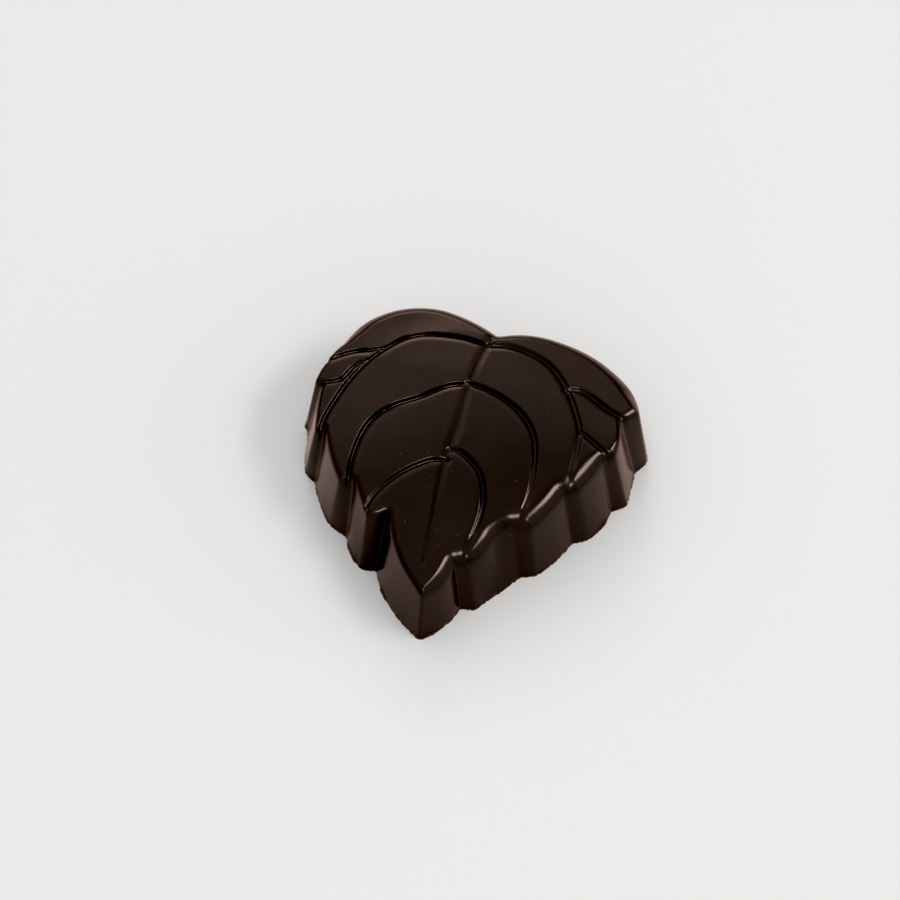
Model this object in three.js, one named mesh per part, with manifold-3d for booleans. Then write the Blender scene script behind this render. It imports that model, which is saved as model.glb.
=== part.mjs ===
// A moulded chocolate praline in the shape of a broad leaf, solid all through.
// It lies on its flat base with the leaf's tip towards -Y and the stalk end towards +Y.
// The walls lean inwards as they rise, the top is gently domed and the veins are cut into it.
// Lengths are in millimetres and +Z is up.
import * as THREE from 'three';
import Module from 'manifold-3d';

// ---- driving dimensions ----
const TIP_HEIGHT = 6.8; // top edge above the base at the leaf's tip
const SHOULDER_HEIGHT = 9.35; // top edge above the base at the broad end
const TIP_Y = -17.7; // where the top edge starts to climb
const CLIMB_LENGTH = 26; // how far from the tip it climbs
const CLIMB_POWER = 1.3; // above 1, the climb eases off towards the broad end
const DOME_RISE = 1.05; // extra height in the middle of the top
const DOME_CENTRE = new THREE.Vector2(-0.35, 1.3);
const DOME_HALF_WIDTH = 17;
const DOME_HALF_LENGTH = 18.5;
const TEETH_EDGE_RADIUS = 0.65; // rounding of the top edge along the teeth
const CLEFT_EDGE_RADIUS = 1.2; // rounding of the top edge at the cleft between the lobes
const LEFT_LOBE_EDGE_RADIUS = 0.85; // rounding at the left lobe's side
const RIGHT_LOBE_EDGE_RADIUS = 2.3; // rounding at the right lobe's side
const LOBE_SIDE_X = 14; // distance of the lobes' sides from the middle
const EDGE_CHANGE_START = 5; // y where the rounding of the teeth starts to give way to the lobes'
const EDGE_CHANGE_LENGTH = 6; // y span of that change
const WALL_LEAN = THREE.MathUtils.degToRad(10); // from the vertical
const OUTLINE_SOFTENING = 0.5; // half-width of the smoothing of the outline's corners

// Corners of the outline, anticlockwise from the tip, with valleys between the teeth.
// Each row: x, y and bow at the base, then x, y and bow at the top edge.
// The bow is how far the curve to the next corner swells outwards.
const CORNERS = {
  tip: [0.8, -18, 0.6, 0.9, -16.75, 0.4],
  rightValley1: [3.9, -13.2, 0.1, 2.9, -12.25, 0.1],
  rightTooth1: [5.4, -13, -0.05, 4.25, -12, 0.3],
  rightSwell1: [7.3, -10.3, 0, 5.9, -8.4, -0.2],
  rightValley2: [8.8, -7.8, 0.05, 7.5, -6.7, 0.1],
  rightTooth2: [10.2, -7.3, 0.3, 9.3, -6.6, 0.15],
  rightValley3: [12.8, -2.4, 0.1, 11.5, -1.9, 0.05],
  rightTooth3: [14.4, -1.4, 0.25, 12.7, -1, 0.1],
  rightValley4: [15.7, 2.7, 0.05, 14.3, 2.9, 0],
  rightTooth4: [17.1, 3.7, 0.05, 15.4, 3.7, 0.3],
  rightValley5: [16.8, 8, 0.1, 14.9, 7.8, 0],
  rightTooth5: [17.8, 9.8, 0.25, 16.5, 9.5, 0.3],
  rightShoulder: [15.4, 14.2, 0.85, 14.3, 13, 0.7],
  rightLobe: [6, 17.8, 0.55, 6.2, 16.2, 0.55],
  cleft: [-0.2, 16.2, 0.45, -0.1, 14.5, 0.25],
  leftLobe: [-7, 17.9, 0.8, -6.3, 16.3, 0.9],
  leftShoulder: [-14.5, 14.7, 0.35, -13.6, 13.3, 0.3],
  leftValley5: [-16.7, 10.3, 0.35, -15.2, 9.8, 0.3],
  leftTooth4: [-18.2, 4.3, 0, -16.7, 4.1, 0.1],
  leftValley4: [-17.6, 3.7, 0.1, -15.9, 4, 0.15],
  leftTooth3: [-16.5, -1.3, 0.1, -15, -1.5, 0.15],
  leftValley3: [-15, -2.3, 0.3, -14.1, -0.9, 0.25],
  leftTooth2: [-12, -7, 0.1, -10.8, -6.75, 0],
  leftValley2: [-9.8, -8.1, 0.3, -9.5, -6.05, 0],
  leftTooth1: [-7.4, -11.3, 0.2, -7, -9.8, 0.2],
  leftValley1: [-5.8, -11.1, 0.8, -5, -8.65, 0.85],
};

// Veins. Each line is a curve through points x, y along the vein's bottom.
// The flank is the width of the wide side, towards the stalk, at the start and at the end.
// The depth is also given at the start and at the end.
const STEEP_FLANK = 0.32; // width of the narrow side, towards the tip
const VEINS = {
  leftOuter: {
    line: [
      [-0.6, 12.9], [-3.7, 13.2], [-7.9, 12.4], [-10.6, 10.1],
      [-12.9, 6.1], [-14.3, 1], [-14.4, -1.9],
    ],
    flank: [0.85, 0.7],
    depth: [0.3, 0.34],
  },
  rightOuter: {
    line: [
      [-0.8, 12.9], [2.2, 13.4], [5.9, 12.4], [8.5, 10],
      [10.4, 7], [11.4, 4.6], [11.7, 0.4], [11.9, -2.7],
    ],
    flank: [0.95, 0.5],
    depth: [0.32, 0.28],
  },
  leftMiddle: {
    line: [[-1, 7.3], [-3.1, 6.5], [-5.5, 4.5], [-8.2, 2.6], [-9.9, 0.1], [-10.3, -3.9], [-9.8, -7.1]],
    flank: [0.85, 0.95],
    depth: [0.34, 0.38],
  },
  rightMiddle: {
    line: [[-1.2, 7.4], [1.7, 6.9], [4.9, 5.4], [7, 3], [8, -0.6], [8.3, -4.2], [7.7, -7.7]],
    flank: [0.9, 0.6],
    depth: [0.36, 0.3],
  },
  leftInner: {
    line: [[-0.8, -2.1], [-2.6, -2.7], [-5, -4.7], [-6.8, -7.3], [-7.3, -9.2]],
    flank: [0.85, 0.6],
    depth: [0.34, 0.12],
  },
  rightInner: {
    line: [[-0.8, -0.9], [0.6, -1], [2.9, -2.8], [4.1, -6], [4, -9.6], [3.1, -13.2]],
    flank: [0.9, 0.6],
    depth: [0.36, 0.28],
  },
  leftUpperBranch: {
    line: [[-10.7, 9.9], [-12.3, 9.2], [-14.3, 8.4], [-17, 6.4]],
    flank: [0.7, 0.8],
    depth: [0.28, 0.34],
  },
  rightUpperBranch: {
    line: [[8.7, 9.6], [9.9, 10], [11.2, 9.8], [13.6, 8.6], [16.4, 7.9]],
    flank: [0.75, 0.75],
    depth: [0.28, 0.34],
  },
  leftLowerBranch: {
    line: [[-11.8, 8.2], [-13.3, 6.7], [-14.4, 4.7], [-17.1, 3.7]],
    flank: [0.7, 0.8],
    depth: [0.24, 0.3],
  },
  rightLowerBranch: {
    line: [[11.3, 5.1], [12.8, 4.4], [15.6, 2.8]],
    flank: [0.5, 0.6],
    depth: [0.2, 0.26],
  },
};
const MIDRIB = {
  line: [[-0.6, 13.9], [-1.1, 9.8], [-1.1, 6.1], [-0.8, 1.6], [-0.9, -2.5], [-0.4, -7.9], [0.1, -13.4]],
  halfWidth: [0.65, 0.75, 0.1], // at the stalk end, half way and at the tip end
  depth: [0.3, 0.3, 0.04],
};

// ---- fineness of the mesh ----
const AROUND = 312; // points round the outline
const SOFTENING_TAPS = 9; // places averaged for each point
const TAP_FALLOFF = 0.9 * Math.PI; // how fast their weight falls away from the middle one
const NORMAL_REACH = 5; // neighbours on each side that give the inward direction, per mm of radius
const EDGE_TURNS = [0.22, 0.45, 0.7, 1]; // stages of the rounded edge, from the wall to the top
const INSET_SPREAD = 1.08; // makes up for the averaging of the inward directions
const RING_CENTRE = new THREE.Vector2(-2, 10); // sees every part of the outline
// rings over the top: share of the way out from the centre, and one point kept out of how many
const INNER_RINGS = [[0.9, 1], [0.76, 2], [0.6, 2], [0.44, 4], [0.28, 4], [0.13, 8]];
const VEIN_STEP = 1.1; // length of one span of a vein
const CUTTER_MARGIN = 0.6; // height of each cutter above the top face

// ---- outline ----
function outlinePath(first) {
  const rows = Object.values(CORNERS);
  const path = new THREE.CurvePath();
  rows.forEach((row, i) => {
    const next = rows[(i + 1) % rows.length];
    const start = new THREE.Vector2(row[first], row[first + 1]);
    const end = new THREE.Vector2(next[first], next[first + 1]);
    const along = end.clone().sub(start).normalize();
    const bow = 2 * row[first + 2];
    const middle = start.clone().add(end).multiplyScalar(0.5);
    middle.x += along.y * bow;
    middle.y -= along.x * bow;
    path.add(new THREE.QuadraticBezierCurve(start, middle, end));
  });
  return path;
}

// A point of the outline, averaged with its neighbours so that corners come out rounded.
function softPoint(path, distance) {
  const total = path.getLength();
  const sum = new THREE.Vector2();
  let weightSum = 0;
  for (let k = 0; k < SOFTENING_TAPS; k += 1) {
    const offset = (2 * k) / (SOFTENING_TAPS - 1) - 1;
    const weight = 1 + Math.cos(offset * TAP_FALLOFF);
    const place = (distance + offset * OUTLINE_SOFTENING + total) % total;
    sum.addScaledVector(path.getPoint(place / total), weight);
    weightSum += weight;
  }
  return sum.divideScalar(weightSum);
}

// Samples both outlines at matching places, so that walls can be drawn between them.
function matchedOutlines() {
  const basePath = outlinePath(0);
  const edgePath = outlinePath(3);
  const baseEnds = basePath.getCurveLengths();
  const edgeEnds = edgePath.getCurveLengths();
  const whole = basePath.getLength();
  const outlines = { base: [], edge: [] };
  for (let i = 0; i < AROUND; i += 1) {
    const distance = (i / AROUND) * whole;
    const piece = baseEnds.findIndex((end) => end > distance);
    const baseStart = piece === 0 ? 0 : baseEnds[piece - 1];
    const edgeStart = piece === 0 ? 0 : edgeEnds[piece - 1];
    const share = (distance - baseStart) / (baseEnds[piece] - baseStart);
    outlines.base.push(softPoint(basePath, distance));
    outlines.edge.push(softPoint(edgePath, edgeStart + share * (edgeEnds[piece] - edgeStart)));
  }
  return outlines;
}

// ---- heights ----
function edgeHeight(y) {
  const left = Math.max(0, 1 - (y - TIP_Y) / CLIMB_LENGTH);
  return SHOULDER_HEIGHT - (SHOULDER_HEIGHT - TIP_HEIGHT) * left ** CLIMB_POWER;
}

function topHeight(x, y) {
  const across = (x - DOME_CENTRE.x) / DOME_HALF_WIDTH;
  const along = (y - DOME_CENTRE.y) / DOME_HALF_LENGTH;
  const inside = Math.max(0, 1 - across * across - along * along);
  return edgeHeight(y) + DOME_RISE * inside * inside;
}

function edgeRadius(x, y) {
  const sideways = (x / LOBE_SIDE_X) ** 2;
  const side = x > 0 ? RIGHT_LOBE_EDGE_RADIUS : LEFT_LOBE_EDGE_RADIUS;
  const lobe = THREE.MathUtils.lerp(CLEFT_EDGE_RADIUS, side, Math.min(1, sideways));
  const share = THREE.MathUtils.smoothstep(y, EDGE_CHANGE_START, EDGE_CHANGE_START + EDGE_CHANGE_LENGTH);
  return THREE.MathUtils.lerp(TEETH_EDGE_RADIUS, lobe, share);
}

function distanceToLoop(point, loop) {
  let nearest = Infinity;
  loop.forEach((start, i) => {
    const end = loop[(i + 1) % loop.length];
    const along = end.clone().sub(start);
    const share = point.clone().sub(start).dot(along) / along.lengthSq();
    const foot = start.clone().addScaledVector(along, THREE.MathUtils.clamp(share, 0, 1));
    nearest = Math.min(nearest, foot.distanceTo(point));
  });
  return nearest;
}

function inwardDirection(loop, i, reach) {
  const before = loop[(i - reach + loop.length) % loop.length];
  const after = loop[(i + reach) % loop.length];
  return new THREE.Vector2(before.y - after.y, after.x - before.x).normalize();
}

// ---- the leaf's body as rings from the base up the wall and in over the top ----
function leafBody() {
  const { base, edge } = matchedOutlines();
  // the wall ends where the rounded edge starts
  const shoulder = edge.map((p, i) => {
    const height = topHeight(p.x, p.y);
    const rounding = edgeRadius(p.x, p.y) * (1 - Math.sin(WALL_LEAN));
    const point = base[i].clone().lerp(p, 1 - rounding / height);
    return new THREE.Vector3(point.x, point.y, height - rounding);
  });
  const loop = shoulder.map((p) => new THREE.Vector2(p.x, p.y));
  const onTop = (point) => {
    const radius = edgeRadius(point.x, point.y);
    const inset = distanceToLoop(point, loop) / radius;
    const reach = Math.max(0, Math.cos(WALL_LEAN) - inset);
    const drop = radius * (1 - Math.sqrt(1 - reach * reach));
    return new THREE.Vector3(point.x, point.y, topHeight(point.x, point.y) - drop);
  };
  const insets = EDGE_TURNS.map((turn) => {
    const angle = THREE.MathUtils.lerp(WALL_LEAN, Math.PI / 2, turn);
    return Math.cos(WALL_LEAN) - Math.cos(angle);
  });
  const rings = [base.map((p) => new THREE.Vector3(p.x, p.y, 0)), shoulder];
  insets.forEach((inset) => {
    rings.push(loop.map((p, i) => {
      const radius = edgeRadius(p.x, p.y);
      const inwards = inwardDirection(loop, i, Math.ceil(NORMAL_REACH * radius));
      return onTop(p.clone().addScaledVector(inwards, inset * radius * INSET_SPREAD));
    }));
  });
  const topRim = rings[rings.length - 1].map((p) => new THREE.Vector2(p.x, p.y));
  INNER_RINGS.forEach(([share, stride]) => {
    const kept = topRim.filter((p, i) => i % stride === 0);
    rings.push(kept.map((p) => onTop(RING_CENTRE.clone().lerp(p, share))));
  });
  return ringSolid(rings);
}

// Joins rings into one closed surface; a ring may have half the points of the one before.
function ringSolid(rings) {
  const positions = [];
  const faces = [];
  const starts = rings.map((ring) => {
    const start = positions.length / 3;
    ring.forEach((p) => positions.push(p.x, p.y, p.z));
    return start;
  });
  for (let r = 0; r + 1 < rings.length; r += 1) {
    const outer = rings[r].length;
    const inner = rings[r + 1].length;
    const ratio = outer / inner;
    for (let i = 0; i < inner; i += 1) {
      const a = starts[r] + i * ratio;
      const c = starts[r + 1] + i;
      const d = starts[r + 1] + ((i + 1) % inner);
      if (ratio === 1) {
        const b = starts[r] + ((i + 1) % outer);
        faces.push(a, b, d, a, d, c);
      } else {
        const b = a + 1;
        const e = starts[r] + ((i * ratio + 2) % outer);
        faces.push(a, b, c, b, d, c, b, e, d);
      }
    }
  }
  const lastRing = rings[rings.length - 1];
  const bottom = positions.length / 3;
  positions.push(RING_CENTRE.x, RING_CENTRE.y, 0);
  const summit = bottom + 1;
  positions.push(RING_CENTRE.x, RING_CENTRE.y, topHeight(RING_CENTRE.x, RING_CENTRE.y));
  for (let i = 0; i < rings[0].length; i += 1) {
    faces.push(bottom, (i + 1) % rings[0].length, i);
  }
  const lastStart = starts[starts.length - 1];
  for (let i = 0; i < lastRing.length; i += 1) {
    faces.push(lastStart + i, lastStart + ((i + 1) % lastRing.length), summit);
  }
  return { positions, faces };
}

// Reads a list of values spread evenly from the start of a vein to its end.
function valueAlong(values, share) {
  const place = share * (values.length - 1);
  const i = Math.min(Math.floor(place), values.length - 2);
  return THREE.MathUtils.lerp(values[i], values[i + 1], place - i);
}

// ---- one vein as a three-sided bar that follows the top face ----
function veinCutter(line, leftWidths, rightWidths, depths) {
  const points = line.map(([x, y]) => new THREE.Vector3(x, y, 0));
  const curve = new THREE.CatmullRomCurve3(points, false, 'centripetal');
  const spans = Math.max(4, Math.round(curve.getLength() / VEIN_STEP));
  const positions = [];
  const faces = [];
  for (let i = 0; i <= spans; i += 1) {
    const share = i / spans;
    const point = curve.getPointAt(share);
    const tangent = curve.getTangentAt(share);
    const toLeft = new THREE.Vector3(-tangent.y, tangent.x, 0).normalize();
    const depth = valueAlong(depths, share);
    const spread = (depth + CUTTER_MARGIN) / depth;
    const surface = topHeight(point.x, point.y);
    const left = point.clone().addScaledVector(toLeft, valueAlong(leftWidths, share) * spread);
    const right = point.clone().addScaledVector(toLeft, -valueAlong(rightWidths, share) * spread);
    positions.push(left.x, left.y, surface + CUTTER_MARGIN);
    positions.push(right.x, right.y, surface + CUTTER_MARGIN);
    positions.push(point.x, point.y, surface - depth);
  }
  for (let i = 0; i < spans; i += 1) {
    for (let k = 0; k < 3; k += 1) {
      const a = 3 * i + k;
      const b = 3 * i + ((k + 1) % 3);
      faces.push(a, b, a + 3, b, b + 3, a + 3);
    }
  }
  faces.push(0, 2, 1, 3 * spans, 3 * spans + 1, 3 * spans + 2);
  return { positions, faces };
}

const wasm = await Module();
wasm.setup();

function toManifold({ positions, faces }) {
  return new wasm.Manifold(new wasm.Mesh({
    numProp: 3,
    vertProperties: Float32Array.from(positions),
    triVerts: Uint32Array.from(faces),
  }));
}

function toGeometry(manifold) {
  const mesh = manifold.getMesh();
  const geometry = new THREE.BufferGeometry();
  geometry.setAttribute('position', new THREE.BufferAttribute(mesh.vertProperties, 3));
  geometry.setIndex(new THREE.BufferAttribute(mesh.triVerts, 1));
  geometry.computeVertexNormals();
  return geometry;
}

// Puts the origin under the middle of the shape, on its base.
function centreOnBase(geometry) {
  geometry.computeBoundingBox();
  const { min, max } = geometry.boundingBox;
  return geometry.translate(-(min.x + max.x) / 2, -(min.y + max.y) / 2, -min.z);
}

let leaf = toManifold(leafBody());
const steep = [STEEP_FLANK, STEEP_FLANK];
Object.values(VEINS).forEach(({ line, flank, depth }) => {
  // the stalk side is on the left of a vein that runs to the right
  const runsRight = line[line.length - 1][0] > line[0][0];
  const [left, right] = runsRight ? [flank, steep] : [steep, flank];
  leaf = leaf.subtract(toManifold(veinCutter(line, left, right, depth)));
});
const midrib = veinCutter(MIDRIB.line, MIDRIB.halfWidth, MIDRIB.halfWidth, MIDRIB.depth);
leaf = leaf.subtract(toManifold(midrib));

const chocolate = new THREE.MeshStandardMaterial({ color: 0x3a251c, roughness: 0.22, metalness: 0 });
const mesh = new THREE.Mesh(centreOnBase(toGeometry(leaf)), chocolate);
mesh.name = 'chocolate_leaf';

const praline = new THREE.Group();
praline.name = 'leaf_praline';
praline.add(mesh);

export default praline;
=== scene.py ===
"""A moulded chocolate praline in the shape of a broad leaf, lying on a pale table."""

import math

import bmesh
import bpy
import numpy as np
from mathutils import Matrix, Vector, noise
from mathutils.geometry import delaunay_2d_cdt
from mathutils.kdtree import KDTree


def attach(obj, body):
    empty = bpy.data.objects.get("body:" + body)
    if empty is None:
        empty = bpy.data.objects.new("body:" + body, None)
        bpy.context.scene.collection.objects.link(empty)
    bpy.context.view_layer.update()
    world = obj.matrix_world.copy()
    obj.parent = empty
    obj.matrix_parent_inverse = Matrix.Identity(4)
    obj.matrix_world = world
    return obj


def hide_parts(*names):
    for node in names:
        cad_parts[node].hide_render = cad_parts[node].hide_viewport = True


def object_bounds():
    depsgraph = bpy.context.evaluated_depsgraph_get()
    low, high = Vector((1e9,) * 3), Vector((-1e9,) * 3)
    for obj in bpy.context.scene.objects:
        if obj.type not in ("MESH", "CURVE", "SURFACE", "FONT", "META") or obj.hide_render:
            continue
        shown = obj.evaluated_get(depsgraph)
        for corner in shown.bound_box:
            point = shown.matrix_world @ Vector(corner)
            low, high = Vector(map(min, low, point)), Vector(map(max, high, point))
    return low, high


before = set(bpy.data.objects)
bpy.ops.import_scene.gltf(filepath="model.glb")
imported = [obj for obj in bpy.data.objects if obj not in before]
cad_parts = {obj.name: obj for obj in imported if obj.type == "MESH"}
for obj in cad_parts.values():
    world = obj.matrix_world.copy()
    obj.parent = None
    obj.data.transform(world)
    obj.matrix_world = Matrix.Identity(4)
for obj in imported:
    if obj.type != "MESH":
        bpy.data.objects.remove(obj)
cad_low, cad_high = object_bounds()
MM = 0.001

# ---- The camera ----
# It looks down on the leaf from the tip's side, a little to the right, through a long lens, as
# the photograph was taken.
CAMERA_AZIMUTH = math.radians(16)
CAMERA_ELEVATION = math.radians(55)
CAMERA_DISTANCE = 400 * MM
LOOK_AT = Vector((-2.376, 5.526, 0)) * MM

camera = bpy.data.objects.new("camera", bpy.data.cameras.new("camera"))
bpy.context.scene.collection.objects.link(camera)
bpy.context.scene.camera = camera
backwards = Vector(
    (
        math.sin(CAMERA_AZIMUTH) * math.cos(CAMERA_ELEVATION),
        -math.cos(CAMERA_AZIMUTH) * math.cos(CAMERA_ELEVATION),
        math.sin(CAMERA_ELEVATION),
    )
)
camera.location = LOOK_AT + backwards * CAMERA_DISTANCE
camera.rotation_euler = backwards.to_track_quat("Z", "Y").to_euler()
camera.data.sensor_width = 36
camera.data.lens = 152
camera.data.clip_start = 10 * MM
camera.data.clip_end = 10

# the photograph is printed hard, and so is this: the darkest tones fall to black
view = bpy.context.scene.view_settings
view.view_transform = "Standard"
view.use_curve_mapping = True
view.curve_mapping.black_level = (0.0122, 0.0106, 0.01)
view.curve_mapping.update()

# ---- The table ----
# A wide, matt white board that the leaf lies on. It is part of the setting and not of the leaf.
TABLE_HALF_SIDE = 900 * MM

table_mesh = bmesh.new()
bmesh.ops.create_grid(table_mesh, x_segments=1, y_segments=1, size=TABLE_HALF_SIDE)
table_data = bpy.data.meshes.new("table")
table_mesh.to_mesh(table_data)
table_mesh.free()
table = bpy.data.objects.new("table", table_data)
bpy.context.scene.collection.objects.link(table)
table_paint = bpy.data.materials.new("table_paint")
table_paint.use_nodes = True
table_shader = table_paint.node_tree.nodes["Principled BSDF"]
table_shader.inputs["Base Color"].default_value = (0.755, 0.755, 0.75, 1)
table_shader.inputs["Roughness"].default_value = 0.9
table_shader.inputs["Specular IOR Level"].default_value = 0.1
table_data.materials.append(table_paint)

# ---- The light ----
# A pale room lights the table from all sides. Brighter patches on its walls show in the gloss of
# the chocolate, the brightest of them low behind the leaf. A window on the right gives the soft
# shadow.
FULL_LIGHT = 9.87  # watts that light a white table fully from 1 m straight above

world = bpy.data.worlds.new("room")
bpy.context.scene.world = world
world.use_nodes = True
room_nodes, room_links = world.node_tree.nodes, world.node_tree.links
room_place = room_nodes.new("ShaderNodeTexCoord")


def direction_to(azimuth, elevation):
    """A direction from the leaf: azimuth 0 is behind it, 90 on its right and 180 in front."""
    turn, rise = math.radians(azimuth), math.radians(elevation)
    level = math.cos(rise)
    return Vector((math.sin(turn) * level, math.cos(turn) * level, math.sin(rise)))


def glow(azimuth, elevation, inner, outer, colour):
    """A soft round patch of light on the room's wall, between two angles from its middle."""
    nearness = room_nodes.new("ShaderNodeVectorMath")
    nearness.operation = "DOT_PRODUCT"
    nearness.inputs[1].default_value = direction_to(azimuth, elevation)
    room_links.new(room_place.outputs["Generated"], nearness.inputs[0])
    fade = room_nodes.new("ShaderNodeMapRange")
    fade.interpolation_type = "SMOOTHSTEP"
    fade.inputs["From Min"].default_value = math.cos(math.radians(outer))
    fade.inputs["From Max"].default_value = math.cos(math.radians(inner))
    room_links.new(nearness.outputs["Value"], fade.inputs["Value"])
    patch = room_nodes.new("ShaderNodeMix")
    patch.data_type = "RGBA"
    patch.inputs["A"].default_value = (0, 0, 0, 1)
    patch.inputs["B"].default_value = (*colour, 1)
    room_links.new(fade.outputs["Result"], patch.inputs["Factor"])
    return patch.outputs["Result"]


room_light = None
for patch in (
    glow(0, 90, 100, 180, (0.3, 0.3, 0.3)),  # the whole room
    glow(0, 90, 5, 30, (0.62, 0.62, 0.61)),  # the ceiling
    glow(165, 32, 10, 65, (0.65, 0.65, 0.65)),  # a wide patch in front
    glow(262, 40, 8, 50, (0.35, 0.35, 0.35)),  # another on the left
    glow(84, 14, 12, 42, (0.9, 0.9, 0.9)),  # low on the right
    glow(320, 73, 4, 22, (0.15, 0.15, 0.15)),  # faint and high up behind, on the left
    glow(22, 54, 4, 18, (0.6, 0.6, 0.6)),  # small, behind on the right
    glow(306, 50, 4, 18, (0.7, 0.7, 0.7)),  # small, behind on the left
    glow(340, 44, 4, 30, (1.25, 1.21, 1.18)),  # the wall behind the leaf
    glow(340, 29, 3, 13, (4.2, 4.0, 3.85)),  # a bright spot low on that wall
):
    if room_light is None:
        room_light = patch
        continue
    both = room_nodes.new("ShaderNodeVectorMath")
    both.operation = "ADD"
    room_links.new(room_light, both.inputs[0])
    room_links.new(patch, both.inputs[1])
    room_light = both.outputs["Vector"]
room_links.new(room_light, room_nodes["Background"].inputs["Color"])


def soft_light(name, azimuth, elevation, distance, width, height, table_share, colour):
    """A flat lamp that faces the leaf and gives this share of a full light on the table."""
    data = bpy.data.lights.new(name, "AREA")
    data.shape = "RECTANGLE"
    data.size = width
    data.size_y = height
    data.energy = table_share * FULL_LIGHT * distance**2 / math.sin(math.radians(elevation))
    data.color = colour
    lamp = bpy.data.objects.new(name, data)
    bpy.context.scene.collection.objects.link(lamp)
    direction = direction_to(azimuth, elevation)
    lamp.location = direction * distance
    lamp.rotation_euler = direction.to_track_quat("Z", "Y").to_euler()
    return lamp


soft_light("window", 88, 48, 1.5, 0.8, 0.26, 0.19, (1, 0.99, 0.98))
# two white boards, one beside the window and one in front on the right, shine along the rims;
# they show in reflections and don't light the table
for board in (
    soft_light("side_board", 75, 46, 1.5, 0.72, 0.5, 0.58, (1, 0.96, 0.92)),
    soft_light("front_board", 148, 47, 1.5, 0.52, 0.4, 0.4, (1, 0.96, 0.92)),
):
    board.visible_diffuse = False

# ---- The leaf's outline ----
# The mould's outline is a ring of shallow curves between the valleys and the teeth.
# Each row: x, y and bow at the base, then x, y and bow at the top edge, in millimetres.
# The bow is how far the curve to the next corner swells outwards.
CORNERS = {
    "tip": (0.8, -18, 0.6, 0.9, -16.75, 0.4),
    "right_valley_1": (3.9, -13.2, 0.1, 2.9, -12.25, 0.1),
    "right_tooth_1": (5.4, -13, -0.05, 4.25, -12, 0.3),
    "right_swell_1": (7.3, -10.3, 0, 5.9, -8.4, -0.2),
    "right_valley_2": (8.8, -7.8, 0.05, 7.5, -6.7, 0.1),
    "right_tooth_2": (10.2, -7.3, 0.3, 9.3, -6.6, 0.15),
    "right_valley_3": (12.8, -2.4, 0.1, 11.5, -1.9, 0.05),
    "right_tooth_3": (14.4, -1.4, 0.25, 12.7, -1, 0.1),
    "right_valley_4": (15.7, 2.7, 0.05, 14.3, 2.9, 0),
    "right_tooth_4": (17.1, 3.7, 0.05, 15.4, 3.7, 0.3),
    "right_valley_5": (16.8, 8, 0.1, 14.9, 7.8, 0),
    "right_tooth_5": (17.8, 9.8, 0.25, 16.5, 9.5, 0.3),
    "right_shoulder": (15.4, 14.2, 0.85, 14.3, 13, 0.7),
    "right_lobe": (6, 17.8, 0.55, 6.2, 16.2, 0.55),
    "cleft": (-0.2, 16.2, 0.45, -0.1, 14.85, 0.3),
    "left_lobe": (-7, 17.9, 0.8, -6.35, 16.95, 0.95),
    "left_shoulder": (-14.5, 14.7, 0.35, -13.7, 13.75, 0.3),
    "left_valley_5": (-16.7, 10.3, 0.35, -15.2, 9.8, 0.3),
    "left_tooth_4": (-18.2, 4.3, 0, -16.7, 4.1, 0.1),
    "left_valley_4": (-17.6, 3.7, 0.1, -15.9, 4, 0.15),
    "left_tooth_3": (-16.5, -1.3, 0.1, -15, -1.5, 0.15),
    "left_valley_3": (-15, -2.3, 0.3, -14.1, -0.9, 0.25),
    "left_tooth_2": (-12, -7, 0.1, -10.8, -6.75, 0),
    "left_valley_2": (-9.8, -8.1, 0.3, -9.5, -6.05, 0),
    "left_tooth_1": (-7.4, -11.3, 0.2, -7, -9.8, 0.2),
    "left_valley_1": (-5.8, -11.1, 0.8, -5, -8.65, 0.85),
}
CURVE_POINTS = 65  # points along each curve
AROUND = 1440  # points round the outline
CORNER_SOFTNESS = 0.5  # half-width of the smoothing that rounds the corners
SOFT_TAPS = 9  # places averaged for each point
TAP_FALLOFF = 0.9 * math.pi  # how far the weights have faded at the outermost place; pi is to 0


def curved_pieces(first):
    """The outline's pieces as dense rows of points, from the columns that start at first."""
    rows = list(CORNERS.values())
    steps = np.linspace(0, 1, CURVE_POINTS)[:, None]
    pieces = []
    for row, following in zip(rows, rows[1:] + rows[:1]):
        start = np.array(row[first : first + 2])
        end = np.array(following[first : first + 2])
        along = (end - start) / np.linalg.norm(end - start)
        outward = np.array([along[1], -along[0]])
        middle = (start + end) / 2 + outward * 2 * row[first + 2]
        pieces.append((1 - steps) ** 2 * start + 2 * steps * (1 - steps) * middle + steps**2 * end)
    return pieces


def piece_lengths(piece):
    """The length from a row's first point to each of its points."""
    return np.concatenate([[0], np.cumsum(np.linalg.norm(np.diff(piece, axis=0), axis=1))])


def point_along(pieces, distance):
    """Points at these distances along the closed outline."""
    whole = np.concatenate([p[:-1] for p in pieces] + [pieces[0][:1]])
    lengths = piece_lengths(whole)
    distance = distance % lengths[-1]
    return np.stack([np.interp(distance, lengths, whole[:, k]) for k in range(2)], 1)


def soft_outline(pieces, distance):
    """Like point_along, averaged with the neighbours so that corners come out rounded."""
    total, weight_sum = 0, 0
    for offset in np.linspace(-1, 1, SOFT_TAPS):
        weight = 1 + math.cos(offset * TAP_FALLOFF)
        total = total + weight * point_along(pieces, distance + offset * CORNER_SOFTNESS)
        weight_sum += weight
    return total / weight_sum


base_pieces, edge_pieces = curved_pieces(0), curved_pieces(3)
base_ends = np.cumsum([0] + [piece_lengths(p)[-1] for p in base_pieces])
edge_ends = np.cumsum([0] + [piece_lengths(p)[-1] for p in edge_pieces])
places = np.arange(AROUND) / AROUND * base_ends[-1]
base_loop = soft_outline(base_pieces, places)
edge_loop = soft_outline(edge_pieces, np.interp(places, base_ends, edge_ends))

# the solid's box is centred on the origin, so the outline is too
cad_centre = np.array((cad_low + cad_high) / 2)[:2] / MM
centring = cad_centre - (base_loop.min(0) + base_loop.max(0)) / 2

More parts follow.
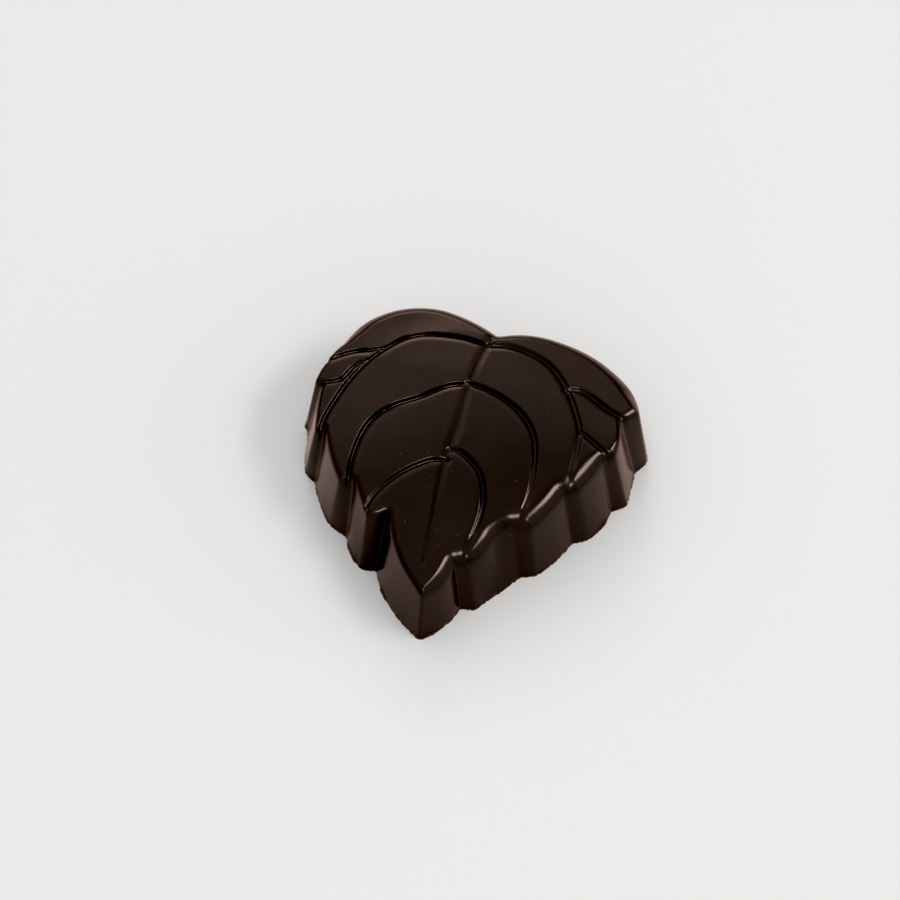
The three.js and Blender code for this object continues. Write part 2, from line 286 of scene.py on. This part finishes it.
# ---- The leaf's body ----
# Poured chocolate that has shrunk a little from its mould: walls that lean in, a rounded edge and
# a gently domed top that falls towards the tip.
TIP_HEIGHT = 6.8  # of the top edge at the tip
SHOULDER_HEIGHT = 9.35  # of the top edge at the broad end
TIP_Y = -17.7
CLIMB_LENGTH = 26  # how far from the tip the top edge climbs
CLIMB_POWER = 1.3  # above 1, the climb eases off towards the broad end
DOME_RISE = 1.05
DOME_CENTRE = (-0.35, 1.3)
DOME_HALF_SIZE = (17, 18.5)
LOBE_CENTRE = (-1, 3)  # the lobes are what lies outside an oval round this point
LOBE_HALF_SIZE = (12.3, 11.2)
LOBE_FALL = 0.6  # how steeply they fall away from the oval
LOBE_FALL_START = 5  # y where the fall sets in
LOBE_FALL_LENGTH = 4
TEETH_EDGE_RADIUS = 0.65
RIGHT_TEETH_EDGE_RADIUS = 1.75
RIGHT_TEETH_START_X = -0.5  # x where the right teeth's rounding sets in
RIGHT_TEETH_START_LENGTH = 3
RIGHT_TEETH_END_Y = 1.5  # y where it starts to die out again
RIGHT_TEETH_END_LENGTH = 4
CLEFT_EDGE_RADIUS = 1.2
LEFT_LOBE_EDGE_RADIUS = 1.6
RIGHT_LOBE_EDGE_RADIUS = 1.8
LOBE_SIDE_X = 14  # where the lobes' rounding has its full size
EDGE_CHANGE_START = 8  # y where the teeth's rounding gives way to the lobes'
EDGE_CHANGE_LENGTH = 4
ROUND_EDGE_CURVE = 2  # a quarter circle
LOBE_EDGE_CURVE = 1.45  # drops at once, as a lip does
EDGE_ROWS = 11
EDGE_REACH = 1.08  # the edge's rings run in a little further than its rounding
WALL_LEAN = math.radians(10)
WALL_SHARES = (0.012, 0.03, 0.06, 0.12, 0.2, 0.3, 0.4, 0.5, 0.6, 0.7, 0.8, 0.9, 1)
WALL_TOP_ROW = 1
SKIN_ROW = 2
NEIGHBOUR_REACH = 2.2  # how far the inward directions are smoothed, in radii of the rounding
FOOT_RADIUS = 0.3  # stands in for that radius at the foot, which has no rounding


def blend(a, b, share):
    """A value this share of the way from a to b."""
    return a + (b - a) * share


def smooth_step(value, start, length):
    """Runs smoothly from 0 at start to 1 one length further on."""
    share = np.clip((value - start) / length, 0, 1)
    return share * share * (3 - 2 * share)


def top_height(xy):
    """Height of the domed top without veins and without the rounded edge."""
    left = np.maximum(0, 1 - (xy[:, 1] - TIP_Y) / CLIMB_LENGTH)
    edge = SHOULDER_HEIGHT - (SHOULDER_HEIGHT - TIP_HEIGHT) * left**CLIMB_POWER
    inside = 1 - (((xy - DOME_CENTRE) / DOME_HALF_SIZE) ** 2).sum(1)
    past_oval = np.hypot(*((xy - LOBE_CENTRE) / LOBE_HALF_SIZE).T) - 1
    on_lobes = smooth_step(xy[:, 1], LOBE_FALL_START, LOBE_FALL_LENGTH)
    fall = LOBE_FALL * np.maximum(0, past_oval) * on_lobes
    return edge + DOME_RISE * np.maximum(0, inside) ** 2 - fall


def lobe_share(xy):
    """0 along the teeth and 1 round the lobes."""
    return smooth_step(xy[:, 1], EDGE_CHANGE_START, EDGE_CHANGE_LENGTH)


def edge_radius(xy):
    """Radius of the rounded edge near each point."""
    side = np.where(xy[:, 0] > 0, RIGHT_LOBE_EDGE_RADIUS, LEFT_LOBE_EDGE_RADIUS)
    lobe = blend(CLEFT_EDGE_RADIUS, side, np.minimum(1, (xy[:, 0] / LOBE_SIDE_X) ** 2))
    sets_in = smooth_step(xy[:, 0], RIGHT_TEETH_START_X, RIGHT_TEETH_START_LENGTH)
    dies_out = smooth_step(xy[:, 1], RIGHT_TEETH_END_Y, RIGHT_TEETH_END_LENGTH)
    teeth = blend(TEETH_EDGE_RADIUS, RIGHT_TEETH_EDGE_RADIUS, sets_in * (1 - dies_out))
    return blend(teeth, lobe, lobe_share(xy))


def edge_drop(xy, steep):
    """How far a rounded edge falls, in radii; the lobes' edge starts with a lip."""
    curve = blend(ROUND_EDGE_CURVE, LOBE_EDGE_CURVE, lobe_share(xy))
    fall = 1 - (1 - steep**curve) ** (1 / curve)
    whole_fall = 1 - (1 - math.cos(WALL_LEAN) ** curve) ** (1 / curve)
    return fall / whole_fall * (1 - math.sin(WALL_LEAN))


def distance_to_line(xy, line, closed=False):
    """Distance of each point to a row of joined points, its place along the row and its side."""
    starts = line if closed else line[:-1]
    ends = np.roll(line, -1, 0) if closed else line[1:]
    along = ends - starts
    lengths = np.linalg.norm(along, axis=1)
    run = np.concatenate([[0], np.cumsum(lengths)[:-1]])
    nearest = np.full(len(xy), np.inf)
    place = np.zeros(len(xy))
    side = np.zeros(len(xy))
    for k in range(len(starts)):
        gap = xy - starts[k]
        share = np.clip(gap @ along[k] / lengths[k] ** 2, 0, 1)
        foot = gap - share[:, None] * along[k]
        distance = np.hypot(foot[:, 0], foot[:, 1])
        closer = distance < nearest
        nearest[closer] = distance[closer]
        place[closer] = run[k] + share[closer] * lengths[k]
        side[closer] = along[k][0] * gap[closer, 1] - along[k][1] * gap[closer, 0]
    return nearest, place, np.sign(side)


edge_height = top_height(edge_loop)
wall_stop = edge_radius(edge_loop) * (1 - math.sin(WALL_LEAN))
shoulder_loop = blend(base_loop, edge_loop, (1 - wall_stop / edge_height)[:, None])
shoulder_height = edge_height - wall_stop

leaf_mesh = bmesh.new()
turn_layer = leaf_mesh.verts.layers.int.new("turn")  # place round the outline
row_layer = leaf_mesh.verts.layers.float.new("row")  # 0 at the base, then the rows named above


def place_ring(vertices, points, heights, row):
    """Puts a ring's vertices at their places round the outline."""
    for vertex in vertices:
        turn = vertex[turn_layer]
        vertex.co = (points[turn][0], points[turn][1], heights[turn])
        vertex[row_layer] = row


def first_ring(points, heights, row):
    """A new closed ring, with its points numbered round the outline."""
    made = bmesh.ops.create_circle(leaf_mesh, segments=len(points), radius=1)["verts"]
    for turn, vertex in enumerate(made):
        vertex[turn_layer] = turn
    place_ring(made, points, heights, row)
    return list({edge for vertex in made for edge in vertex.link_edges})


def next_ring(edges, points, heights, row):
    """Pulls a ring out of the last one, with a band of faces between them."""
    made = bmesh.ops.extrude_edge_only(leaf_mesh, edges=edges)["geom"]
    place_ring([v for v in made if isinstance(v, bmesh.types.BMVert)], points, heights, row)
    return [edge for edge in made if isinstance(edge, bmesh.types.BMEdge)]


def inward_directions(loop, radius):
    """Smoothed directions into the loop; a wider rounding takes in more neighbours."""
    directions = np.zeros_like(loop)
    spacing = np.linalg.norm(loop - np.roll(loop, 1, 0), axis=1).mean()
    for turn in range(len(loop)):
        reach = max(2, round(NEIGHBOUR_REACH * radius[turn] / spacing))
        before, after = loop[turn - reach], loop[(turn + reach) % len(loop)]
        directions[turn] = (before[1] - after[1], after[0] - before[0])
    return directions / np.linalg.norm(directions, axis=1)[:, None]


def noise_at(points, slice_height):
    """Smooth noise at each point, on a level slice through it."""
    return np.array([noise.noise((*point, slice_height)) for point in points])


# a thin flash was left at the foot in places, where the mould was scraped level
FLASH_WIDTH = 0.12  # how far it sticks out
FLASH_WAVES = 0.35  # how often it comes and goes, per millimetre
FLASH_CONTRAST = 2
FLASH_SHARE = 0.2  # adds to the stretches that have it
FLASH_SLICE = 3
FLASH_HEIGHT = 0.035  # share of the wall's height over which it fades
RAGGED_WIDTH = 0.09  # how far the foot wanders in and out
RAGGED_WAVES = 3.8
RAGGED_SLICE = 7

flash = noise_at(base_loop * FLASH_WAVES, FLASH_SLICE)
flash = FLASH_WIDTH * np.clip(flash * FLASH_CONTRAST + FLASH_SHARE, 0, 1)
foot = flash + RAGGED_WIDTH * noise_at(base_loop * RAGGED_WAVES, RAGGED_SLICE)
outwards = -inward_directions(base_loop, np.full(AROUND, FOOT_RADIUS))

flat = np.zeros(AROUND)
ring = first_ring(base_loop + outwards * foot[:, None], flat, 0)
base_ring = ring
for share in WALL_SHARES:
    swell = (foot * math.exp(-((share / FLASH_HEIGHT) ** 2)))[:, None]
    wall_loop = blend(base_loop, shoulder_loop, share) + outwards * swell
    ring = next_ring(ring, wall_loop, shoulder_height * share, share * WALL_TOP_ROW)

# the rounded edge's rings get their heights together with the top
radius = edge_radius(shoulder_loop)
inwards = inward_directions(shoulder_loop, radius)
for row in range(1, EDGE_ROWS + 1):
    angle = blend(WALL_LEAN, math.pi / 2, row / EDGE_ROWS)
    inset = (math.cos(WALL_LEAN) - math.cos(angle)) * EDGE_REACH
    rim_loop = shoulder_loop + inwards * (inset * radius)[:, None]
    ring = next_ring(ring, rim_loop, flat, SKIN_ROW)

# one flat face closes the base
bmesh.ops.contextual_create(leaf_mesh, geom=base_ring)

# ---- The veins ----
# Grooves left by the mould's raised veins, with a rounded shoulder on the tip side. Each vein:
# points x, y along its bottom, then the width of its stalk side and its depth, both at even
# places from its start to its end, in millimetres.
STEEP_SIDE = 0.35  # width of the tip side
BOTTOM_SHARE = 0.25  # share of the width that is flat bottom
SLOPE_SHARE = 0.5  # share over which the groove's side climbs
LIP_REACH = 0.9  # how far from the groove's bottom the rounded shoulder ends
LIP_DROP = 0.27  # how far it may fall
LIP_SHARE = 0.5  # and no further than this share of the groove's depth
VEIN_MARGIN = 1.5  # further away than this, a vein changes nothing
VEINS = {
    "left_outer": (
        [
            (-0.6, 12.9), (-3.7, 13.2), (-7.9, 12.4), (-10.6, 10.1),
            (-12.9, 6.1), (-14.3, 1), (-14.6, -2.6),
        ],
        (0.45, 0.42),
        (0.4, 0.42),
    ),
    "right_outer": (
        [
            (-0.8, 12.9), (2.2, 13.4), (5.9, 12.4), (8.5, 10),
            (10.4, 7), (11.4, 4.6), (11.7, 0.4), (12, -3.4),
        ],
        (0.62, 0.66, 0.62, 0.6),
        (0.42, 0.36, 0.2, 0.03),
    ),
    "left_middle": (
        [
            (-1, 7.3), (-3.1, 6.5), (-5.5, 4.5), (-8.2, 2.6),
            (-9.9, 0.1), (-10.3, -3.9), (-9.6, -8),
        ],
        (0.48, 0.5),
        (0.44, 0.46),
    ),
    "right_middle": (
        [(-1.2, 7.4), (1.7, 6.9), (4.9, 5.4), (7, 3), (8, -0.6), (8.3, -4.2), (7.6, -8.4)],
        (0.56, 0.58, 0.55, 0.55),
        (0.45, 0.42, 0.2, 0.03),
    ),
    "left_inner": (
        [(-0.8, -2.1), (-2.6, -2.7), (-5, -4.7), (-6.8, -7.3), (-7.3, -9.2)],
        (0.48, 0.42),
        (0.44, 0.22),
    ),
    "right_inner": (
        [(-0.8, -0.9), (0.6, -1), (2.9, -2.8), (4.1, -6), (4, -9.6), (2.9, -14)],
        (0.56, 0.58, 0.58, 0.6),
        (0.44, 0.36, 0.2, 0.02),
    ),
    "left_upper_branch": (
        [(-10.7, 9.9), (-12.3, 9.2), (-14.3, 8.4), (-17.5, 6)],
        (0.42, 0.45),
        (0.34, 0.4),
    ),
    "right_upper_branch": (
        [(8.7, 9.6), (9.9, 10), (11.2, 9.8), (13.6, 8.6), (17, 7.7)],
        (0.62, 0.66),
        (0.36, 0.42),
    ),
    "left_lower_branch": (
        [(-11.8, 8.2), (-13.3, 6.7), (-14.4, 4.7), (-17.8, 3.5)],
        (0.42, 0.45),
        (0.3, 0.36),
    ),
    "right_lower_branch": (
        [(11.3, 5.1), (12.8, 4.4), (16.3, 2.4)],
        (0.5, 0.55),
        (0.26, 0.32),
    ),
}
# the midrib is a wide, shallow hollow, with a fine crease in its bottom near the stalk end
MIDRIB = [
    (-0.6, 13.9), (-1.1, 9.8), (-1.1, 6.1), (-0.8, 1.6),
    (-0.9, -2.5), (-0.4, -7.9), (0.1, -13.4),
]
MIDRIB_HALF_WIDTH = (0.65, 0.7, 0.35)
MIDRIB_DEPTH = (0.14, 0.18, 0.1)
CREASE_HALF_WIDTH = 0.16
CREASE_DEPTH = (0.07, 0.01, 0)
VEIN_STEPS = 12  # short spans between two points of a vein


def smooth_line(points):
    """A curve through the points, as a dense row of points."""
    points = np.array(points, float)
    tangents = np.gradient(points, axis=0)
    t = (np.arange(VEIN_STEPS) / VEIN_STEPS)[:, None]
    rows = []
    for k in range(len(points) - 1):
        start, end = points[k], points[k + 1]
        rows.append(
            (2 * t**3 - 3 * t**2 + 1) * start
            + (t**3 - 2 * t**2 + t) * tangents[k]
            + (3 * t**2 - 2 * t**3) * end
            + (t**3 - t**2) * tangents[k + 1]
        )
    return np.concatenate(rows + [points[-1:]])


def groove_shape(across):
    """Depth of a groove, 1 on its flat bottom and 0 past its side; across is in widths."""
    return 1 - np.clip((across - BOTTOM_SHARE) / SLOPE_SHARE, 0, 1)


def along_vein(share, values):
    """Values that are given at even places from a vein's start to its end."""
    return np.interp(share, np.linspace(0, 1, len(values)), values)


vein_lines = []
for points, width, depth in VEINS.values():
    # the stalk side is on the left of a vein that runs to the right
    stalk_side = 1 if points[-1][0] > points[0][0] else -1
    vein_lines.append((smooth_line(points), stalk_side, width, depth))
midrib_line = smooth_line(MIDRIB)


def vein_depth(xy):
    """How far the veins sink the top at each point."""
    deepest = np.zeros(len(xy))
    for line, stalk_side, width, depth in vein_lines:
        near = ((xy > line.min(0) - VEIN_MARGIN) & (xy < line.max(0) + VEIN_MARGIN)).all(1)
        distance, place, side = distance_to_line(xy[near], line)
        share = place / piece_lengths(line)[-1]
        gentle = side * stalk_side > 0
        reach = np.where(gentle, along_vein(share, width), STEEP_SIDE)
        full_depth = along_vein(share, depth)
        lip_drop = np.where(gentle, 0, np.minimum(LIP_DROP, LIP_SHARE * full_depth))
        sunk = (full_depth - lip_drop) * groove_shape(distance / reach)
        sunk += lip_drop * np.maximum(0, 1 - distance / LIP_REACH) ** 2
        deepest[near] = np.maximum(deepest[near], sunk)
    distance, place, side = distance_to_line(xy, midrib_line)
    share = place / piece_lengths(midrib_line)[-1]
    reach = along_vein(share, MIDRIB_HALF_WIDTH)
    sunk = along_vein(share, MIDRIB_DEPTH) * np.maximum(0, 1 - distance / reach)
    sunk += along_vein(share, CREASE_DEPTH) * groove_shape(distance / CREASE_HALF_WIDTH)
    return np.maximum(deepest, sunk)


# ---- The leaf's top ----
# The skin inside the rounded edge. Its mesh follows every vein in close rows, with even points
# between them, so that the grooves shine in smooth lines.
ROW_SPACING = 0.18  # along a vein
# distances of the rows from a vein's bottom, in widths of that side
TIP_SIDE_ROWS = (0.13, 0.25, 0.42, 0.58, 0.75, 0.95, 1.3, 1.7, 2.1, 2.5)
STALK_SIDE_ROWS = (0.13, 0.25, 0.37, 0.5, 0.62, 0.75, 0.88, 1, 1.2)
MIDRIB_ROWS = (0.09, 0.18, 0.27, 0.45, 0.7, 1, 1.3)
SKIN_SPACING = 0.34  # of the even points
SKIN_MARGIN = 1  # their field starts this far outside the leaf and is trimmed to the rim
ROW_CLEARANCE = 0.75 * SKIN_SPACING  # no even point lies nearer to a row
RIM_GAP = 0.1  # and no point of either kind nearer to the rim
MERGE_DISTANCE = 0.004
KEEP_INSIDE = 1  # the mesher's setting that keeps what lies inside the rim
ROUGH_STEP = 12  # one in so many points of the wall's top, for a first rough distance
ROUGH_MARGIN = 1
UNEVEN_SIZE = 2.6  # width of the faint waves in the skin
UNEVEN_HEIGHT = 0.012
UNEVEN_SLICE = 11


def rows_along(line, stalk_side, width, steep_width, stalk_rows, tip_rows):
    """Points in rows beside a vein's bottom line; the first row is the line itself."""
    lengths = piece_lengths(line)
    stations = np.linspace(0, lengths[-1], round(lengths[-1] / ROW_SPACING))
    bottom = np.stack([np.interp(stations, lengths, line[:, k]) for k in range(2)], 1)
    tangent = np.gradient(bottom, axis=0)
    tangent /= np.linalg.norm(tangent, axis=1)[:, None]
    uphill = np.stack([-tangent[:, 1], tangent[:, 0]], 1) * stalk_side
    share = stations / lengths[-1]
    gentle = along_vein(share, width)[:, None]
    steep = along_vein(share, steep_width)[:, None]
    rows = [bottom]
    rows += [bottom + uphill * gentle * out for out in stalk_rows]
    rows += [bottom - uphill * steep * out for out in tip_rows]
    return rows


def is_inside(xy, loop):
    """True for points inside a closed loop."""
    crossings = np.zeros(len(xy), int)
    for start, end in zip(loop, np.roll(loop, -1, 0)):
        spans = (start[1] > xy[:, 1]) != (end[1] > xy[:, 1])
        if spans.any():
            reach = start[0] + (xy[:, 1] - start[1]) / (end[1] - start[1]) * (end[0] - start[0])
            crossings += spans & (xy[:, 0] < reach)
    return crossings % 2 == 1


vein_rows = [
    rows_along(line, side, width, (STEEP_SIDE,), STALK_SIDE_ROWS, TIP_SIDE_ROWS)
    for line, side, width, depth in vein_lines
]
vein_rows.append(
    rows_along(midrib_line, 1, MIDRIB_HALF_WIDTH, MIDRIB_HALF_WIDTH, MIDRIB_ROWS, MIDRIB_ROWS)
)
row_points = np.concatenate([points for rows in vein_rows for points in rows])

# even points in a honeycomb, where no vein is near
half_side = np.abs(rim_loop).max() + SKIN_MARGIN
columns = np.arange(-half_side, half_side, SKIN_SPACING)
lines = np.arange(-half_side, half_side, SKIN_SPACING * math.sqrt(3) / 2)
skin_x, skin_y = np.meshgrid(columns, lines)
skin_x[1::2] += SKIN_SPACING / 2
skin_points = np.stack([skin_x.ravel(), skin_y.ravel()], 1)
row_tree = KDTree(len(row_points))
for k, point in enumerate(row_points):
    row_tree.insert((*point, 0), k)
row_tree.balance()
free = [row_tree.find((*point, 0))[2] > ROW_CLEARANCE for point in skin_points]
top_points = np.concatenate([row_points, skin_points[free]])
top_points = top_points[is_inside(top_points, rim_loop)]
top_points = top_points[distance_to_line(top_points, rim_loop, closed=True)[0] > RIM_GAP]

# the mesher gives points, faces and where each point came from; the first ones are the rim's
rim_vertices = {edge_vertex for edge in ring for edge_vertex in edge.verts}
rim_vertices = sorted(rim_vertices, key=lambda vertex: vertex[turn_layer])
flat_points = [Vector(vertex.co[:2]) for vertex in rim_vertices]
flat_points += [Vector(point) for point in top_points]
rim_face = list(range(AROUND))
meshed = delaunay_2d_cdt(flat_points, [], [rim_face], KEEP_INSIDE, MERGE_DISTANCE)
skin_vertices = []
for point, came_from in zip(meshed[0], meshed[3]):
    if came_from and came_from[0] < AROUND:
        skin_vertices.append(rim_vertices[came_from[0]])
    else:
        vertex = leaf_mesh.verts.new((*point, 0))
        vertex[row_layer] = SKIN_ROW
        skin_vertices.append(vertex)
for face in meshed[2]:
    leaf_mesh.faces.new([skin_vertices[k] for k in face])

# every point on top gets its height: the dome, less the rounded edge, less the veins
top_vertices = [v for v in leaf_mesh.verts if v[row_layer] >= WALL_TOP_ROW]
xy = np.array([v.co[:2] for v in top_vertices])
radius = edge_radius(xy)
rough = np.min([np.hypot(*(xy - p).T) for p in shoulder_loop[::ROUGH_STEP]], 0)
close = rough < radius + ROUGH_MARGIN
inset = np.full(len(xy), np.inf)
inset[close] = distance_to_line(xy[close], shoulder_loop, closed=True)[0]
steep = np.maximum(0, math.cos(WALL_LEAN) - inset / radius)
uneven = UNEVEN_HEIGHT * noise_at(xy / UNEVEN_SIZE, UNEVEN_SLICE)
heights = top_height(xy) - radius * edge_drop(xy, steep) - vein_depth(xy) + uneven
for vertex, height in zip(top_vertices, heights):
    vertex.co.z = height

bmesh.ops.translate(leaf_mesh, verts=leaf_mesh.verts, vec=(*centring, 0))
bmesh.ops.scale(leaf_mesh, verts=leaf_mesh.verts, vec=(MM, MM, MM))
bmesh.ops.recalc_face_normals(leaf_mesh, faces=leaf_mesh.faces)
for face in leaf_mesh.faces:
    face.smooth = True
leaf_data = bpy.data.meshes.new("chocolate")
leaf_mesh.to_mesh(leaf_data)
leaf_mesh.free()
leaf = bpy.data.objects.new("chocolate", leaf_data)
bpy.context.scene.collection.objects.link(leaf)

# ---- The chocolate's surface ----
# Dark chocolate, poured warm and released from a polished mould: a soft, slightly cloudy gloss,
# with tiny bumps whose glints are painted on as pale dots, and paler, thin edges at the foot.
chocolate = bpy.data.materials.new("dark_chocolate")
chocolate.use_nodes = True
nodes, links = chocolate.node_tree.nodes, chocolate.node_tree.links
shader = nodes["Principled BSDF"]
surface_place = nodes.new("ShaderNodeTexCoord").outputs["Object"]


def clouds(size, detail, low, high, from_low=0.35, from_high=0.65):
    """Soft noise of this size in millimetres, running from low to high."""
    noise_node = nodes.new("ShaderNodeTexNoise")
    noise_node.inputs["Scale"].default_value = 1 / (size * MM)
    noise_node.inputs["Detail"].default_value = detail
    links.new(surface_place, noise_node.inputs["Vector"])
    spread = nodes.new("ShaderNodeMapRange")
    spread.inputs["From Min"].default_value = from_low
    spread.inputs["From Max"].default_value = from_high
    spread.inputs["To Min"].default_value = low
    spread.inputs["To Max"].default_value = high
    links.new(noise_node.outputs["Fac"], spread.inputs["Value"])
    return spread.outputs["Result"]


def mix_colour(share, first, second):
    """Blends two colours; the first may be a socket."""
    mix = nodes.new("ShaderNodeMix")
    mix.data_type = "RGBA"
    links.new(share, mix.inputs["Factor"])
    if isinstance(first, bpy.types.NodeSocket):
        links.new(first, mix.inputs["A"])
    else:
        mix.inputs["A"].default_value = (*first, 1)
    mix.inputs["B"].default_value = (*second, 1)
    return mix.outputs["Result"]


def maths(operation, first, second):
    """One step of arithmetic on two values, each a number or a socket."""
    node = nodes.new("ShaderNodeMath")
    node.operation = operation
    for socket, value in zip(node.inputs, (first, second)):
        if isinstance(value, bpy.types.NodeSocket):
            links.new(value, socket)
        else:
            socket.default_value = value
    return node.outputs["Value"]


# painted glints: most cells of a fine pattern have a tiny pale dot in the middle, some fainter
# than others; each dot is a glint painted on a small bump
cells = nodes.new("ShaderNodeTexVoronoi")
cells.inputs["Scale"].default_value = 1 / (0.8 * MM)
links.new(surface_place, cells.inputs["Vector"])
chosen = nodes.new("ShaderNodeSeparateColor")
links.new(cells.outputs["Color"], chosen.inputs["Color"])
dot = nodes.new("ShaderNodeMapRange")
dot.inputs["From Min"].default_value = 0.11
dot.inputs["From Max"].default_value = 0.045
links.new(cells.outputs["Distance"], dot.inputs["Value"])
bumps_and_painted_glints = maths("MULTIPLY", dot.outputs["Result"], chosen.outputs["Green"])
bumps_and_painted_glints = maths("MULTIPLY", bumps_and_painted_glints, maths("GREATER_THAN", chosen.outputs["Red"], 0.3))

# the foot's thin edge, in patches
height = nodes.new("ShaderNodeSeparateXYZ")
links.new(surface_place, height.inputs["Vector"])
low = nodes.new("ShaderNodeMapRange")
low.inputs["From Min"].default_value = 0.22 * MM
low.inputs["From Max"].default_value = 0.04 * MM
links.new(height.outputs["Z"], low.inputs["Value"])
thin_edge = maths("MULTIPLY", low.outputs["Result"], clouds(1.2, 3, 0, 1, 0.45, 0.6))

colour = mix_colour(clouds(5, 3, 0, 1), (0.004, 0.0026, 0.002), (0.0072, 0.0044, 0.0031))
# the pale dots are painted glints, lighter than the chocolate itself
colour = mix_colour(maths("MULTIPLY", bumps_and_painted_glints, 0.8), colour, (0.13, 0.085, 0.06))
colour = mix_colour(thin_edge, colour, (0.17, 0.08, 0.042))
links.new(colour, shader.inputs["Base Color"])
links.new(clouds(3.5, 4, 0.14, 0.22), shader.inputs["Roughness"])
# the very dark colours and both indices were fitted to the photograph together with the light;
# real cocoa butter reflects more
shader.inputs["IOR"].default_value = 1.3
shader.inputs["Specular Tint"].default_value = (1, 0.95, 0.92, 1)
# the cocoa butter on top is clear and slightly warm, most so where it is seen at a slant
shader.inputs["Coat Weight"].default_value = 1
shader.inputs["Coat IOR"].default_value = 1.1
shader.inputs["Coat Roughness"].default_value = 0.2
shader.inputs["Coat Tint"].default_value = (0.92, 0.7, 0.6, 1)

# the same dots also rise as small bumps under their painted glints
grain = maths("ADD", clouds(0.9, 4, 0, 1, 0, 1), maths("MULTIPLY", bumps_and_painted_glints, 1.5))
bump = nodes.new("ShaderNodeBump")
bump.inputs["Distance"].default_value = 0.012 * MM
bump.inputs["Strength"].default_value = 0.5
links.new(grain, bump.inputs["Height"])
links.new(bump.outputs["Normal"], shader.inputs["Normal"])
leaf_data.materials.append(chocolate)
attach(leaf, "root")
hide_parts("chocolate_leaf")
